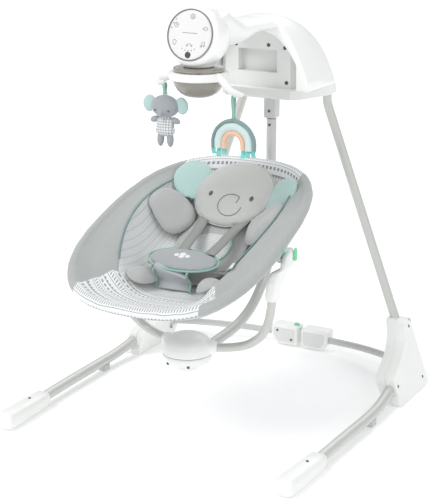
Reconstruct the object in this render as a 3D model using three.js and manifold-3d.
// Portable baby swing: an A-frame on two folding leg sets, a powered housing that
// carries the swing arm, a swivelling and reclining seat, and a turning toy mobile.
// Millimetres, +Z up, -Y to the front, origin on the floor under the middle.
import * as THREE from 'three';
import { mergeVertices } from 'three/addons/utils/BufferGeometryUtils.js';
import Module from 'manifold-3d';

const wasm = await Module();
wasm.setup();

// ---- driving dimensions -------------------------------------------------------
const STAND_Y = 11.55; // moves the model so that the origin is under its middle
const SMOOTH = 0.12; // largest step flattened in a finished piece
const GAP = 0.4; // clearance between pieces that touch or slide
const TUBE = { leg: 12.5, upright: 11, rear: 9, arm: 12, yoke: 9.75, ring: 8 }; // radii
const TUBE_SIDES = 12;

const LEG = {
  hubTop: [309, 291, 157],
  hubLow: [346, 295, 34],
  bootRear: -264,
  bootLength: 160,
  bootWidth: 46,
  bootHeight: 42,
};
const HUB = { thickness: 46, wall: 2.6, lean: 0.34, x0: 362 }; // x of mid plane = x0 - lean z
const REAR = { hinge: [325, 274, 55], boxY: 401, boxZ: 30, boxLength: 160, boxDepth: 45, boxHeight: 52, seam: 5.5 };
const HOUSING = { bottom: 702, wall: 3, peak: 895, archGain: 134, archPower: 2.7, halfWidth: 140, lip: 106, front: 130, back: 312 };
const ARM = { pivot: [0, 206, 775], slotHalf: 34 };
const BOOM_ROOT = 125;
const HEAD = { centre: [0, -182, 883], tilt: 12, lensDrop: 42, joint: 42 };
const MOBILE = { y: -145, disc: 56, ring: 64.5, ringTop: 802, ringBottom: 784, bowl: 56, bowlBottom: 747, hook: 85 };
const SEAT_HUB = { y: -200, radius: 57, low: 158, split: 180, high: 224, knob: 24, knobLow: 139 };
const SEAT = {
  centre: [0, -164, 448], incline: 20.4, a: 293, b: 222, power: 2.75, taper: 0.045, bow: 15, lowest: -60,
  // each skin's wall is the power of its slope: steep at the sides and the head end, gentle at the feet
  underside: { inset: TUBE.ring + 2, depth: 122, wall: 3.2, footWall: 2.3 },
  lining: { inset: TUBE.ring + 9, depth: 92, wall: 3, footWall: 1.5 },
  padBase: { inset: 26, depth: 89, wall: 3, footWall: 1.5 },
  padTop: { inset: 42, depth: 73, wall: 3, footWall: 1.5 },
};
const RECLINE = [0, -169, 425]; // axis along X

// ---- materials ------------------------------------------------------------------
const paint = (color, roughness, metalness = 0, opacity = 1) =>
  new THREE.MeshStandardMaterial({ color, roughness, metalness, opacity, transparent: opacity < 1 });
const WHITE = paint(0xf2f3ef, 0.35);
const LIGHT_GREY = paint(0xe1e4e1, 0.4);
const TUBE_GREY = paint(0xc3c5c0, 0.4, 0.3);
const ARM_GREY = paint(0xb9bbba, 0.4, 0.4);
const STEEL = paint(0x8d9092, 0.3, 0.9);
const DARK = paint(0x4a4b4c, 0.4);
const SMOKE = paint(0x8f8b84, 0.2, 0, 0.6);
const GREEN = paint(0x7fd9a8, 0.4);
const RUBBER = paint(0xd8dad8, 0.8);
const FABRIC = paint(0xb4b8b8, 0.9);
const MINT = paint(0xbfd9d5, 0.9);
const TEAL = paint(0x9cc5b8, 0.9);

// ---- solid helpers ----------------------------------------------------------------
/** A closed BufferGeometry as a manifold solid. */
function solid(geometry) {
  const bare = new THREE.BufferGeometry();
  bare.setAttribute('position', geometry.getAttribute('position').clone());
  if (geometry.index) bare.setIndex(geometry.index.clone());
  const merged = mergeVertices(bare, 1e-3);
  const mesh = new wasm.Mesh({
    numProp: 3,
    vertProperties: new Float32Array(merged.attributes.position.array),
    triVerts: new Uint32Array(merged.index.array),
  });
  return new wasm.Manifold(mesh);
}

/** A manifold solid as a BufferGeometry. */
function geometryOf(manifold) {
  const mesh = manifold.getMesh();
  const positions = new Float32Array(mesh.numVert * 3);
  for (let i = 0; i < mesh.numVert; i++) {
    for (let k = 0; k < 3; k++) positions[3 * i + k] = mesh.vertProperties[mesh.numProp * i + k];
  }
  const geometry = new THREE.BufferGeometry();
  geometry.setAttribute('position', new THREE.BufferAttribute(positions, 3));
  geometry.setIndex(Array.from(mesh.triVerts));
  return geometry;
}

const joined = (...solids) => solids.reduce((whole, next) => whole.add(next));
const vec = ([x, y, z]) => new THREE.Vector3(x, y, z);
const curveThrough = (points) => new THREE.CatmullRomCurve3(points.map(vec), false, 'centripetal');

/** Mirrors a point to the left (side -1) or keeps it on the right (side 1). */
const onSide = (side, [x, y, z]) => [side * x, y, z];

function circle(radius, sides = TUBE_SIDES) {
  const shape = new THREE.Shape();
  for (let i = 0; i < sides; i++) {
    const angle = (2 * Math.PI * i) / sides;
    const point = [radius * Math.cos(angle), radius * Math.sin(angle)];
    if (i === 0) shape.moveTo(...point);
    else shape.lineTo(...point);
  }
  return shape;
}

/** A round tube, as a solid rod, along a smooth curve through points. */
function tube(points, radius, steps = 24, sides = TUBE_SIDES) {
  return solid(new THREE.ExtrudeGeometry(circle(radius, sides), {
    extrudePath: curveThrough(points), steps, bevelEnabled: false,
  }));
}

/** A rod between two points. */
function rod(from, to, radius, sides = TUBE_SIDES, endRadius = radius) {
  const start = vec(from);
  const along = vec(to).sub(start);
  const geometry = new THREE.CylinderGeometry(endRadius, radius, along.length(), sides);
  const turn = new THREE.Quaternion().setFromUnitVectors(new THREE.Vector3(0, 1, 0), along.clone().normalize());
  geometry.applyQuaternion(turn);
  const middle = start.addScaledVector(along, 0.5);
  return solid(geometry.translate(middle.x, middle.y, middle.z));
}

/** A box given by its centre and sizes. */
function box([x, y, z], [w, d, h]) {
  return solid(new THREE.BoxGeometry(w, d, h).translate(x, y, z));
}

/** A solid of revolution about Z through (x, y) from [radius, z] pairs that start and end on the axis. */
function turned(profile, [x, y] = [0, 0], segments = 24) {
  const points = profile.map(([r, z]) => new THREE.Vector2(r, z));
  return solid(new THREE.LatheGeometry(points, segments).rotateX(Math.PI / 2).translate(x, y, 0));
}

/** A prism along Z from an outline of [x, y] points. */
function prism(outline, from, to) {
  const shape = new THREE.Shape(outline.map(([x, y]) => new THREE.Vector2(x, y)));
  const geometry = new THREE.ExtrudeGeometry(shape, { depth: to - from, bevelEnabled: false, curveSegments: 8 });
  return solid(geometry.translate(0, 0, from));
}

/** A closed skin through rings of points, all of one length, with fan caps. */
function loft(rings) {
  const count = rings[0].length;
  const positions = rings.flat(2);
  const faces = [];
  for (let r = 0; r < rings.length - 1; r++) {
    for (let i = 0; i < count; i++) {
      const a = r * count + i;
      const b = r * count + ((i + 1) % count);
      faces.push(a, b, b + count, a, b + count, a + count);
    }
  }
  const last = (rings.length - 1) * count;
  const mean = (ring) => [0, 1, 2].map((k) => ring.reduce((sum, p) => sum + p[k], 0) / count);
  const first = positions.length / 3;
  positions.push(...mean(rings[0]), ...mean(rings[rings.length - 1]));
  for (let i = 0; i < count; i++) {
    const next = (i + 1) % count;
    faces.push(first, next, i, first + 1, last + i, last + next);
  }
  if (signedVolume(positions, faces) < 0) faces.reverse();
  const geometry = new THREE.BufferGeometry();
  geometry.setAttribute('position', new THREE.BufferAttribute(new Float32Array(positions), 3));
  geometry.setIndex(faces);
  return solid(geometry);
}

/** Six times the volume inside triangles, negative where they face inwards. */
function signedVolume(positions, faces) {
  const corner = (i) => new THREE.Vector3().fromArray(positions, 3 * faces[i]);
  let sum = 0;
  for (let i = 0; i < faces.length; i += 3) sum += corner(i).dot(corner(i + 1).cross(corner(i + 2)));
  return sum;
}

/** A superellipse point: cosine and sine raised to 2 / power with their signs. */
function squircle(angle, power) {
  const bend = (value) => Math.sign(value) * Math.abs(value) ** (2 / power);
  return [bend(Math.cos(angle)), bend(Math.sin(angle))];
}

/** A ring of points in the XZ plane at y, around z. */
function upright(y, z, halfWidth, halfHeight, power = 2.4, count = 18) {
  return Array.from({ length: count }, (_, i) => {
    const [c, s] = squircle((2 * Math.PI * i) / count, power);
    return [halfWidth * c, y, z - halfHeight * s];
  });
}

const swing = new THREE.Group();
swing.position.y = STAND_Y;
/** Puts a solid into a group as a named mesh. */
function add(name, manifold, material, group = swing) {
  const mesh = new THREE.Mesh(geometryOf(manifold.simplify(SMOOTH)), material);
  mesh.name = name;
  group.add(mesh);
  return mesh;
}

// ---- leg sets -----------------------------------------------------------------------
/** Moves hub geometry, modelled upright in the YZ plane, onto the leaning mid plane. */
function leaned(manifold, side) {
  return manifold.warp((v) => {
    v[0] = side * (HUB.x0 - HUB.lean * v[2]) + v[0];
  });
}

/** The hub outline in (y, z): flat foot, straight back, concave front edge. */
function hubOutline(inset) {
  const front = 130 + inset;
  const low = inset;
  const back = 311 - inset;
  const high = 164 - inset;
  const shape = new THREE.Shape();
  shape.moveTo(front, 20 + inset);
  shape.quadraticCurveTo(front + 4, low, front + 24, low);
  shape.lineTo(back - 24, low);
  shape.quadraticCurveTo(back, low, back, low + 22);
  shape.lineTo(back, high);
  shape.lineTo(270 + inset, high);
  shape.bezierCurveTo(258 + inset, 112, 205, 92 - inset, front + 4, 66 - inset);
  return shape;
}

function hubHalf(side, outer) {
  const half = HUB.thickness / 2;
  const plate = (inset, depth) => {
    const geometry = new THREE.ExtrudeGeometry(hubOutline(inset), {
      depth, bevelEnabled: false, curveSegments: 7,
    });
    // shape x is world y and shape y is world z, so depth runs along +X
    return solid(geometry.applyMatrix4(new THREE.Matrix4().set(0, 0, 1, 0, 1, 0, 0, 0, 0, 1, 0, 0, 0, 0, 0, 1)));
  };
  const shell = plate(0, half - GAP / 2).subtract(plate(HUB.wall, half - HUB.wall).translate(-1, 0, 0));
  const facing = outer ? shell.translate(GAP / 2, 0, 0) : shell.mirror([1, 0, 0]).translate(-GAP / 2, 0, 0);
  return leaned(side > 0 ? facing : facing.mirror([1, 0, 0]), side);
}

const frontLegPath = [[354, 150, 43], [355, 128, 38], [359, 62, 27.5], [361, 0, 24.5], [358, -150, 24], [354, -300, 22.5], [352, -372, 22]];

function uprightTube(side, radius) {
  const bendStart = [119, 276.6, 659];
  const points = [LEG.hubLow, LEG.hubTop, bendStart].map((p) => onSide(side, p));
  const lower = rod(points[0], points[2], radius);
  const elbow = tube([bendStart, [113.5, 276.1, 676], [112, 276, 695]].map((p) => onSide(side, p)), radius, 6);
  const upper = rod(onSide(side, [112, 276, 694]), onSide(side, [112, 276, 742]), radius);
  return joined(lower, elbow, upper);
}

function footBoot(side) {
  const ring = (y, grow) => Array.from({ length: 18 }, (_, i) => {
    const [c, s] = squircle((2 * Math.PI * i) / 18, 3);
    const x = 355 + ((LEG.bootRear - y) / LEG.bootLength) * -6;
    return [side * x + (LEG.bootWidth / 2) * grow * c, y, LEG.bootHeight / 2 - (LEG.bootHeight / 2) * grow * s];
  });
  const toe = LEG.bootRear - LEG.bootLength;
  return loft([[LEG.bootRear, 0.93], [LEG.bootRear - 4, 0.98], [LEG.bootRear - 60, 1], [toe + 8, 1], [toe, 0.9]]
    .map(([y, grow]) => ring(y, grow)));
}

function legSet(side, label) {
  const group = new THREE.Group();
  swing.add(group);
  const place = (name, shape, material) => add(`${label}_${name}`, shape, material, group);
  const legPoints = frontLegPath.map((p) => onSide(side, p));
  const frontLeg = tube(legPoints, TUBE.leg, 14);
  const legRoom = tube(legPoints, TUBE.leg + GAP, 14);
  const pinHole = rod(onSide(side, [112, 250, 730]), onSide(side, [112, 300, 730]), 4 + GAP, 12);
  place('upright_tube', uprightTube(side, TUBE.upright).subtract(pinHole), TUBE_GREY);
  place('front_leg_tube', frontLeg, TUBE_GREY);
  const uprightRoom = uprightTube(side, TUBE.upright + GAP);
  const mid = REAR.hinge;
  const hingeRoom = rod(onSide(side, [mid[0], mid[1], 38]), onSide(side, [mid[0], mid[1], 72]), 15, 20)
    .add(box(onSide(side, [mid[0] - 25, mid[1] + 14, mid[2]]), [60, 44, 26]));
  for (const outer of [true, false]) {
    const barPinRoom = rod(onSide(side, [mid[0], mid[1], 30]), onSide(side, [mid[0], mid[1], 80]), 4 + GAP, 12);
    const half = hubHalf(side, outer).subtract(uprightRoom).subtract(legRoom)
      .subtract(outer ? uprightRoom : hingeRoom.add(barPinRoom));
    place(outer ? 'hub_outer_shell' : 'hub_inner_shell', half, WHITE);
  }
  place('foot_boot', footBoot(side).subtract(legRoom), WHITE);
  const pad = prism([[side * 344 - 9, -12], [side * 344 + 9, -12], [side * 344 + 9, 12], [side * 344 - 9, 12]], 0, 14)
    .translate(side * 17, 5, 0);
  place('glide_pad', pad.subtract(legRoom), RUBBER);
  return group;
}
legSet(-1, 'left');
legSet(1, 'right');

// ---- rear bar with the fold box ----------------------------------------------------------
function rearBar(side, label) {
  const [hx, hy, hz] = REAR.hinge;
  const end = REAR.boxLength / 2 - 40;
  const path = [[hx - 6, hy + 6, hz], [300, 296, 52], [250, 330, 46], [180, 367, 38], [110, 390, 32], [end, 399, REAR.boxZ]];
  const points = path.map((p) => onSide(side, p));
  const eye = rod(onSide(side, [hx, hy, 44]), onSide(side, [hx, hy, 66]), 9.2, 16);
  const pinRoom = rod(onSide(side, [hx, hy, 30]), onSide(side, [hx, hy, 80]), 4 + GAP, 12);
  add(`${label}_rear_bar`, joined(tube(points, TUBE.rear, 12), eye).subtract(pinRoom), ARM_GREY);
  add(`${label}_rear_bar_pin`, rod(onSide(side, [hx, hy, 35]), onSide(side, [hx, hy, 75]), 4, 12), STEEL);

  const half = REAR.boxLength / 2;
  const outline = (inset) => {
    const low = 4 + inset;
    const high = 4 + REAR.boxHeight - inset;
    const outer = half - inset;
    const inner = REAR.seam + (inset ? -1 : 0);
    const shape = new THREE.Shape();
    shape.moveTo(inner, low);
    shape.lineTo(outer - 26, low);
    shape.quadraticCurveTo(outer - 6, low + 2, outer, low + 24);
    shape.lineTo(outer, high - 14);
    shape.quadraticCurveTo(outer - 2, high, outer - 16, high);
    shape.lineTo(inner, high);
    return shape;
  };
  const block = (inset) => solid(new THREE.ExtrudeGeometry(outline(inset), {
    depth: REAR.boxDepth - 2 * inset, bevelEnabled: false, curveSegments: 6,
  }).rotateX(Math.PI / 2).translate(0, REAR.boxY + REAR.boxDepth / 2 - inset, 0));
  const cover = block(0).subtract(block(2.6));
  const placed = side > 0 ? cover : cover.mirror([1, 0, 0]);
  const room = tube(points, TUBE.rear + GAP, 12);
  const buttonRoom = rod([-16, REAR.boxY, 40], [-16, REAR.boxY, 70], 7.5 + GAP, 20);
  add(`${label}_fold_box`, placed.subtract(room).subtract(side < 0 ? buttonRoom : room), LIGHT_GREY);
}
rearBar(-1, 'left');
rearBar(1, 'right');

function foldBoxFittings() {
  const button = joined(
    rod([-16, REAR.boxY, 46], [-16, REAR.boxY, 61], 7.5, 20),
    rod([-16, REAR.boxY, 45], [-16, REAR.boxY, 50], 12, 20),
  );
  add('fold_button', button, GREEN);
}

// ---- housing --------------------------------------------------------------------------------
/** Height of the hood's outer surface at (x, y), in mm. */
function hoodTop(x, y) {
  const back = Math.max(0, y - 160) / 150;
  const crown = HOUSING.peak - 52 * back ** 1.6;
  return crown - HOUSING.archGain * Math.abs(x / 135) ** HOUSING.archPower;
}

/** The space under the hood surface between two depths, taken in by inset. */
function underHood(from, to, inset, bottom) {
  const rings = [];
  const inside = Array.from({ length: 12 }, (_, i) => 100 + 20 * i).filter((y) => y > from + 2 && y < to - 2);
  for (const y of [from, ...inside, to]) {
    const squeeze = 1 - 0.12 * (Math.max(0, y - 262) / 50) ** 2;
    const width = (HOUSING.halfWidth - inset) * squeeze;
    const ring = [];
    for (let i = 0; i <= 16; i++) {
      const x = width * Math.cos((Math.PI * i) / 16);
      ring.push([x, y, Math.max(hoodTop(x / squeeze, y) - inset * 1.1, bottom + 2)]);
    }
    ring.push([-width, y, bottom], [0, y, bottom], [width, y, bottom]);
    rings.push(ring);
  }
  return loft(rings);
}

function housing() {
  const wall = HOUSING.wall;
  const { front, back, bottom } = HOUSING;
  // plan outline of the body: narrow front face, sides flaring to the rear
  const plan = (inset) => [
    [84 - inset, front + inset], [104 - inset, 152 + inset], [133 - inset, 236], [130 - inset, 292 - inset],
    [110 - inset, back - 6 - inset], [-110 + inset, back - 6 - inset], [-130 + inset, 292 - inset],
    [-133 + inset, 236], [-104 + inset, 152 + inset], [-84 + inset, front + inset],
  ];
  const legSlot = (side) => box(onSide(side, [99, 276, 730]), [58, 29, 90]);
  const armSlot = box([0, 206, 720], [2 * ARM.slotHalf, 30, 60]);
  const block = (inset, low) => prism(plan(inset), low, 905)
    .intersect(underHood(90, back + 10, wall + 1 + inset, low - 20));
  const recess = box([0, front, 789], [100, 44, 52]);
  const recessWall = box([0, front + 13, 789], [106, 28, 58]).intersect(prism(plan(0), 700, 905));
  const cavity = block(wall, bottom + wall).subtract(recessWall);
  const pinRoom = (side) => rod(onSide(side, [112, 246, 730]), onSide(side, [112, 322, 730]), 4 + GAP, 12);
  const armPinRoom = rod([0, 160, 775], [0, 262, 775], 5 + GAP, 16);
  const ribs = joined(
    box([0, 176, 774], [30, 6, 60]), box([0, 236, 774], [30, 6, 60]),
    box([112, 257, 736], [24, 6, 62]), box([-112, 257, 736], [24, 6, 62]),
    box([112, 293, 736], [24, 5, 62]), box([-112, 293, 736], [24, 5, 62]),
  );
  const shell = block(0, bottom).subtract(cavity);
  const ribbed = ribs.intersect(block(1, bottom + 1));
  // the ribs hang from the roof and stand on the floor of the body, so they join the shell
  const tied = joined(shell, ribbed, box([0, 176, 840], [12, 6, 120]).intersect(block(1, bottom + 1)),
    box([0, 236, 840], [12, 6, 120]).intersect(block(1, bottom + 1)));
  const body = tied.subtract(recess).subtract(legSlot(1)).subtract(legSlot(-1)).subtract(armSlot)
    .subtract(pinRoom(1)).subtract(pinRoom(-1)).subtract(armPinRoom);
  add('housing_body', body, WHITE);

  const outer = underHood(HOUSING.lip, back + 3, 0, 728);
  const inner = joined(underHood(HOUSING.lip + 16, back, wall, 700), underHood(90, HOUSING.lip + 18, 32, 700));
  const hood = joined(outer.subtract(inner), boom(0, HEAD.joint + GAP, HOUSING.lip + 14).subtract(underHood(90, 140, 32, 700)));
  const open = joined(box([102, 232, 800], [44, 70, 120]), ...[1, -1].map((side) => box(onSide(side, [101, 276, 735]), [62, 30, 46])));
  add('hood_shell', hood.subtract(open), WHITE);
  const doorPiece = outer.subtract(underHood(96, back, wall - 0.4, 700))
    .intersect(box([102, 232, 800], [44 - 2 * GAP, 70 - 2 * GAP, 120]));
  add('battery_door', doorPiece, WHITE);

  add('arm_pivot_shaft', rod([0, 168, 775], [0, 246, 775], 5, 16), STEEL);
  for (const [side, label] of [[-1, 'left'], [1, 'right']]) {
    add(`${label}_fold_pin`, rod(onSide(side, [112, 252, 730]), onSide(side, [112, 293, 730]), 4, 12), STEEL);
  }
}

// ---- head, boom and control panel -------------------------------------------------------------
/** The boom's skin between two stations of y, from the head back to its root in the hood. */
function boom(grow, from, to) {
  const skin = (y) => {
    const share = (y + 140) / (BOOM_ROOT + 140);
    const flare = 24 * Math.max(0, share - 0.55) ** 1.5;
    const height = 16 + 42 * Math.max(0, 1 - share * 1.35) ** 1.3;
    const top = 945 - 51 * THREE.MathUtils.smoothstep(y, -85, 45);
    return upright(y, top - height, 57 - 12 * Math.sin(Math.PI * Math.min(1, share * 1.1)) + 2.5 * flare + grow, height + grow, 2.5);
  };
  const steps = Math.ceil((to - from) / 22);
  return loft(Array.from({ length: steps + 1 }, (_, i) => skin(from + ((to - from) * i) / steps)));
}

/** A solid of revolution about the tilted panel axis from [radius, depth behind the panel face]. */
function headTurned(profile, segments = 24) {
  return turned(profile.map(([r, t]) => [r, t]), [0, 0], segments)
    .rotate([-90, 0, 0]).rotate([-HEAD.tilt, 0, 0]).translate(HEAD.centre);
}

function head() {
  const outer = headTurned([[0, 0], [56, 0], [62, 5], [65.5, 14], [65.5, 34], [62, 58], [54, 78], [42, 92], [0, 98]]);
  const room = headTurned([[0, -2], [53, -2], [53, 4], [58, 6], [62, 15], [62, 33], [58, 56], [50, 74], [38, 86], [0, 90]]);
  const neck = rod([0, MOBILE.y, 812], [0, MOBILE.y, 850], 35, 32);
  const cableWay = boom(-3.5, -120, HEAD.joint + 5);
  const shell = joined(outer, boom(0, -130, HEAD.joint), neck).subtract(room).subtract(cableWay)
    .subtract(rod([0, MOBILE.y, 800], [0, MOBILE.y, 860], 5 + GAP, 16))
    .subtract(box([0, MOBILE.y, 802], [140, 140, 20]));
  add('head_shell', shell, WHITE);
  const bezel = headTurned([[0, -3], [56.5, -3], [57, -0.4], [0, -0.4]]).subtract(headTurned([[0, -4], [52.6, -4], [52.6, 1], [0, 1]]));
  add('panel_bezel', bezel, DARK);
  const lensSeat = headTurned([[0, -6], [7.6, -6], [7.6, 3], [0, 3]], 20);
  const lean = THREE.MathUtils.degToRad(HEAD.tilt);
  const down = [0, -HEAD.lensDrop * Math.sin(lean), -HEAD.lensDrop * Math.cos(lean)];
  const lensRoom = lensSeat.translate(down);
  const panel = headTurned([[0, -2], [50, -2], [52.2, -1], [52.2, 3], [0, 3]]).subtract(lensRoom);
  add('control_panel', panel, LIGHT_GREY);
  add('panel_lens', headTurned([[0, -3], [5, -3], [7.2, -2], [7.2, 2.5], [0, 2.5]], 20).translate(down), DARK);
}

// ---- mobile ------------------------------------------------------------------------------------
function mobile() {
  const centre = [0, MOBILE.y];
  const { disc, ring, ringTop, ringBottom, bowl, bowlBottom, hook } = MOBILE;
  const spindle = turned([[0, 770], [5, 770], [5, 844], [0, 844]], centre, 16);
  add('mobile_spindle', spindle, STEEL);
  const hole = rod([0, MOBILE.y, 700], [0, MOBILE.y, 860], 5 + GAP, 16);
  add('mobile_disc', turned([[0, 804], [disc, 804], [disc - 4, 811.4], [0, 811.4]], centre, 24).subtract(hole), SMOKE);
  const collar = turned([[0, ringBottom], [60, ringBottom], [ring, ringBottom + 4], [ring, ringTop - 6], [58, ringTop], [0, ringTop]], centre, 24);
  const arms = [1, -1].map((side) => {
    const sweep = [[52, -157, 793.5], [67, -167, 792], [90, -166, 781], [103, -153, 772], [100, -141, 769], [hook, MOBILE.y, 770]];
    const low = side > 0 ? -12 : 0;
    return tube(sweep.map(([x, y, z]) => [side * x, MOBILE.y + side * (y - MOBILE.y), z + low * (x > 80 ? 1 : 0)]), 5, 12, 8);
  });
  add('mobile_arm_ring', joined(collar, ...arms).subtract(hole), WHITE);
  const cup = turned([[0, bowlBottom], [22, bowlBottom], [40, 755], [51, 768], [bowl, ringBottom - GAP], [0, ringBottom - GAP]], centre, 24);
  const cupRoom = turned([[0, bowlBottom + 3], [21, bowlBottom + 3], [38, 758], [48, 770], [bowl - 3, ringBottom + 1], [0, ringBottom + 1]], centre, 24);
  add('mobile_bowl', cup.subtract(cupRoom), SMOKE);
}

function toys() {
  const y = MOBILE.y;
  const left = -MOBILE.hook;
  const right = MOBILE.hook;
  const ball = (at, [rx, ry, rz], rows = 5) => solid(new THREE.SphereGeometry(1, 10, rows).rotateX(Math.PI / 2).scale(rx, ry, rz)
    .translate(...at));
  const strap = (x, top, low) => box([x, y, (top + low) / 2], [8.5, 1.6, top - low]);
  add('elephant_toy_strap', strap(left, 764, 744), TEAL);
  add('elephant_toy', joined(
    ball([left, y, 718], [33, 17, 25.5], 7),
    ball([left - 40, y + 3, 722], [18, 5, 20]),
    ball([left + 40, y + 3, 722], [18, 5, 20]),
    ball([left, y, 676], [21, 14, 24]),
    ball([left - 27, y, 689], [13, 7, 8]),
    ball([left + 27, y, 689], [13, 7, 8]),
    ball([left - 9, y - 2, 645], [8.5, 8, 20]),
    ball([left + 9, y - 2, 645], [8.5, 8, 20]),
  ), FABRIC);
  add('rainbow_toy_strap', strap(right, 752, 706.5), TEAL);
  const arch = new THREE.Shape();
  arch.moveTo(right - 55, 645);
  arch.absarc(right, 652, 53, Math.PI, 0, true);
  arch.lineTo(right + 53, 645);
  arch.lineTo(right + 18, 645);
  arch.absarc(right, 652, 18, 0, Math.PI, false);
  arch.lineTo(right - 18, 645);
  const pad = new THREE.ExtrudeGeometry(arch, { depth: 14, bevelEnabled: false, curveSegments: 16 })
    .rotateX(Math.PI / 2).translate(0, y + 7, 0);
  add('rainbow_toy', solid(pad), TEAL);
}

// ---- swing arm -----------------------------------------------------------------------------------
function swingArm() {
  const path = [[0, 206, 640], [0, 206, 480], [0, 206, 340], [0, 196, 285], [0, 164, 238], [0, 110, 196], [0, 40, 172], [0, -50, 164], [0, -140, 163]];
  add('swing_arm_tube', tube(path, TUBE.arm, 30), ARM_GREY);
  const plate = joined(box([0, 206, 706], [30, 27, 128]), rod([0, 190, 775], [0, 222, 775], 17, 24));
  const bracket = plate.subtract(tube([[0, 206, 660], [0, 206, 600]], TUBE.arm + GAP, 4))
    .subtract(rod([0, 180, 775], [0, 232, 775], 5 + GAP, 16));
  add('swing_arm_bracket', bracket, ARM_GREY);
  const { y, radius, low, split } = SEAT_HUB;
  const base = turned([[0, low - 3], [40, low - 3], [52, low + 6], [radius, split - 4], [radius, split - GAP], [0, split - GAP]], [0, y], 24);
  const boss = rod([0, y + 40, 165], [0, y + 78, 164], 17, 20);
  const axleRoom = turned([[0, 130], [6 + GAP, 130], [6 + GAP, 200], [0, 200]], [0, y], 16);
  const trimmed = boss.intersect(box([0, y + 60, 161], [60, 60, 2 * (split - GAP - 161)]));
  add('seat_hub_base', joined(base, trimmed).subtract(tube(path, TUBE.arm + GAP, 30)).subtract(axleRoom), WHITE);
}

// ---- seat yoke -----------------------------------------------------------------------------------
const yokePath = [[44, -194, 197], [70, -182, 196], [100, -172, 199], [131, -166, 208], [164, -168, 232], [184, -174, 262], [196, -180, 300], [202, -184, 345], [205, -184, 372]];

function yoke() {
  const { y, radius, split, high, knob, knobLow } = SEAT_HUB;
  const cap = turned([[0, split], [radius, split], [radius, split + 14], [50, split + 30], [38, high - 6], [20, high - 1], [0, high]], [0, y], 24);
  const rooms = [1, -1].map((side) => tube(yokePath.map((p) => onSide(side, p)), TUBE.yoke + GAP, 16));
  const socket = [1, -1].map((side) => rod([side * 40, y + 6, 197], [side * 68, y + 16, 196.5], 15, 20)
    .intersect(box([0, y, 210], [200, 120, 2 * (210 - split - GAP)])));
  add('seat_hub_cap', joined(cap, ...socket).subtract(rooms[0]).subtract(rooms[1])
    .subtract(rod([0, y, 170], [0, y, 214], 6 + GAP, 16)), WHITE);
  add('swivel_axle', joined(rod([0, y, 145], [0, y, 212], 6, 16), rod([0, y, knobLow], [0, y, 154.4], knob, 28, knob)), LIGHT_GREY);
  for (const [side, label] of [[-1, 'left'], [1, 'right']]) {
    add(`${label}_yoke_tube`, tube(yokePath.map((p) => onSide(side, p)), TUBE.yoke, 16), TUBE_GREY);
    boot(side, label);
  }
}

function boot(side, label) {
  const [, ry, rz] = RECLINE;
  const section = ([x, y, z, w, d]) => Array.from({ length: 20 }, (_, i) => {
    const [c, s] = squircle((2 * Math.PI * i) / 20, 2.8);
    return [side * x + w * c, y + d * s, z];
  });
  const sleeve = loft([
    [200, -184, 327, 13.5, 14], [204, -186, 350, 14.5, 15.5], [209, -186, 372, 15.5, 18],
    [215, -182, 392, 14, 20], [230.4, -176, 405, 9.6, 21], [230.6, -172, 420, 9.6, 22], [230.6, -166, 436, 9.6, 18], [230.6, -162, 443, 9.2, 12],
  ].map(section));
  const room = tube(yokePath.map((p) => onSide(side, p)), TUBE.yoke + GAP, 16);
  const pinRoom = rod(onSide(side, [195, ry, rz]), onSide(side, [250, ry, rz]), 5 + GAP, 16);
  add(`${label}_boot`, sleeve.subtract(room).subtract(pinRoom), WHITE);
  add(`${label}_recline_pin`, rod(onSide(side, [202, ry, rz]), onSide(side, [239, ry, rz]), 5, 16), STEEL);
  const lever = box(onSide(side, [242.6, -158, 430]), [3.4, 13, 34]).subtract(pinRoom);
  add(`${label}_recline_lever`, lever, GREEN);
}

// ---- seat ----------------------------------------------------------------------------------------
const tilt = THREE.MathUtils.degToRad(SEAT.incline);
/** A seat-plane point (across, up the slope, above the plane) in the object's frame. */
function seatPoint(x, u, n) {
  const [cx, cy, cz] = SEAT.centre;
  return [cx + x, cy + u * Math.cos(tilt) - n * Math.sin(tilt), cz + u * Math.sin(tilt) + n * Math.cos(tilt)];
}

/** The rim curve: [across, up the slope, above the plane] at an angle, taken in by inset. */
function rim(angle, inset = 0) {
  const [c, s] = squircle(angle, SEAT.power);
  const u = (SEAT.a - inset) * c;
  const across = (SEAT.b - inset) * (1 - (SEAT.taper * u) / SEAT.a) * s;
  return [across, u, SEAT.bow * (1 - (u / SEAT.a) ** 2)];
}

/** Point of a bowl-shaped skin at share 0 (lowest) to 1 (rim) of the way out. */
function bowl(angle, share, { inset, depth, wall, footWall }) {
  const [across, u, bow] = rim(angle, inset);
  const power = wall + (footWall - wall) * Math.max(0, -Math.cos(angle));
  const height = bow * share ** 2 - depth * (1 - share ** power) - 5;
  return seatPoint(across * share, SEAT.lowest + (u - SEAT.lowest) * share, height);
}

/** A padded bowl between a lower and an upper skin, from its middle out to a share of the way. */
function bowlSkin(lower, upper, edge, rows = 6, count = 32) {
  const ring = (share, skin) => Array.from({ length: count }, (_, i) => bowl((2 * Math.PI * i) / count, share, skin));
  const outer = [];
  const inner = [];
  for (let r = 1; r <= rows; r++) {
    outer.push(ring((edge * r) / rows, lower));
    inner.unshift(ring((edge * r) / rows, upper));
  }
  return loft([...outer, ...inner]);
}

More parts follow.
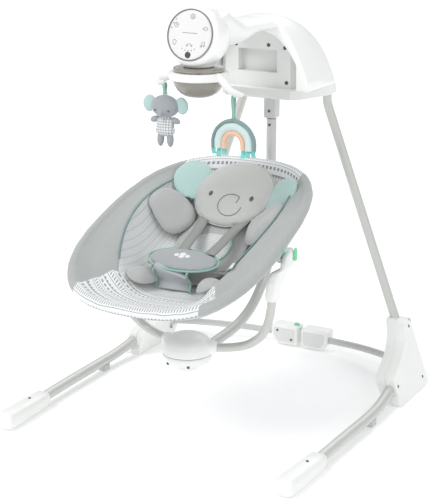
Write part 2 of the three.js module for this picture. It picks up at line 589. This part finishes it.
function seat() {
  const [, ry, rz] = RECLINE;
  const ringCurve = new THREE.CatmullRomCurve3(
    Array.from({ length: 48 }, (_, i) => vec(seatPoint(...rim((2 * Math.PI * i) / 48)))), true, 'centripetal');
  const ringSolid = solid(new THREE.ExtrudeGeometry(circle(TUBE.ring, 8), { extrudePath: ringCurve, steps: 48, bevelEnabled: false }));
  add('seat_ring', ringSolid, TUBE_GREY);
  const ringRoom = solid(new THREE.ExtrudeGeometry(circle(TUBE.ring + GAP, 8), { extrudePath: ringCurve, steps: 48, bevelEnabled: false }));
  for (const [side, label] of [[-1, 'left'], [1, 'right']]) {
    const lug = joined(
      rod(onSide(side, [200, ry, rz]), onSide(side, [219.6, ry, rz]), 15, 24),
      box(onSide(side, [211, ry, rz + 22]), [17.2, 26, 34]),
      box(onSide(side, [222, ry, 459]), [20, 24, 18]),
    );
    const bore = rod(onSide(side, [190, ry, rz]), onSide(side, [250, ry, rz]), 5 + GAP, 16);
    const bootRoom = box(onSide(side, [235, ry, 425]), [30.6, 60, 50]);
    add(`${label}_ring_lug`, lug.subtract(bootRoom).subtract(ringRoom).subtract(bore), WHITE);
  }
  const notch = [1, -1].map((side) => box(onSide(side, [222, ry - 6, 410]), [60, 74, 104]));
  const cover = bowlSkin(SEAT.underside, SEAT.lining, 1, 7)
    .subtract(notch[0]).subtract(notch[1]).subtract(ringRoom);
  add('seat_cover', cover, FABRIC);
  add('body_support_pad', bowlSkin(SEAT.padBase, SEAT.padTop, 0.76, 4, 24), FABRIC);
  const pillow = solid(new THREE.SphereGeometry(1, 18, 8).scale(90, 84, 16).rotateX(tilt + 0.36)
    .translate(0, 6, 495));
  add('head_pillow', pillow, FABRIC);
  const belly = solid(new THREE.SphereGeometry(1, 16, 6).scale(80, 38, 9).rotateX(tilt)
    .translate(0, -217, 398));
  add('waist_pad', belly, MINT);
}

// ---- assembly ------------------------------------------------------------------------------------
foldBoxFittings();
housing();
head();
mobile();
toys();
swingArm();
yoke();
seat();

export default swing;
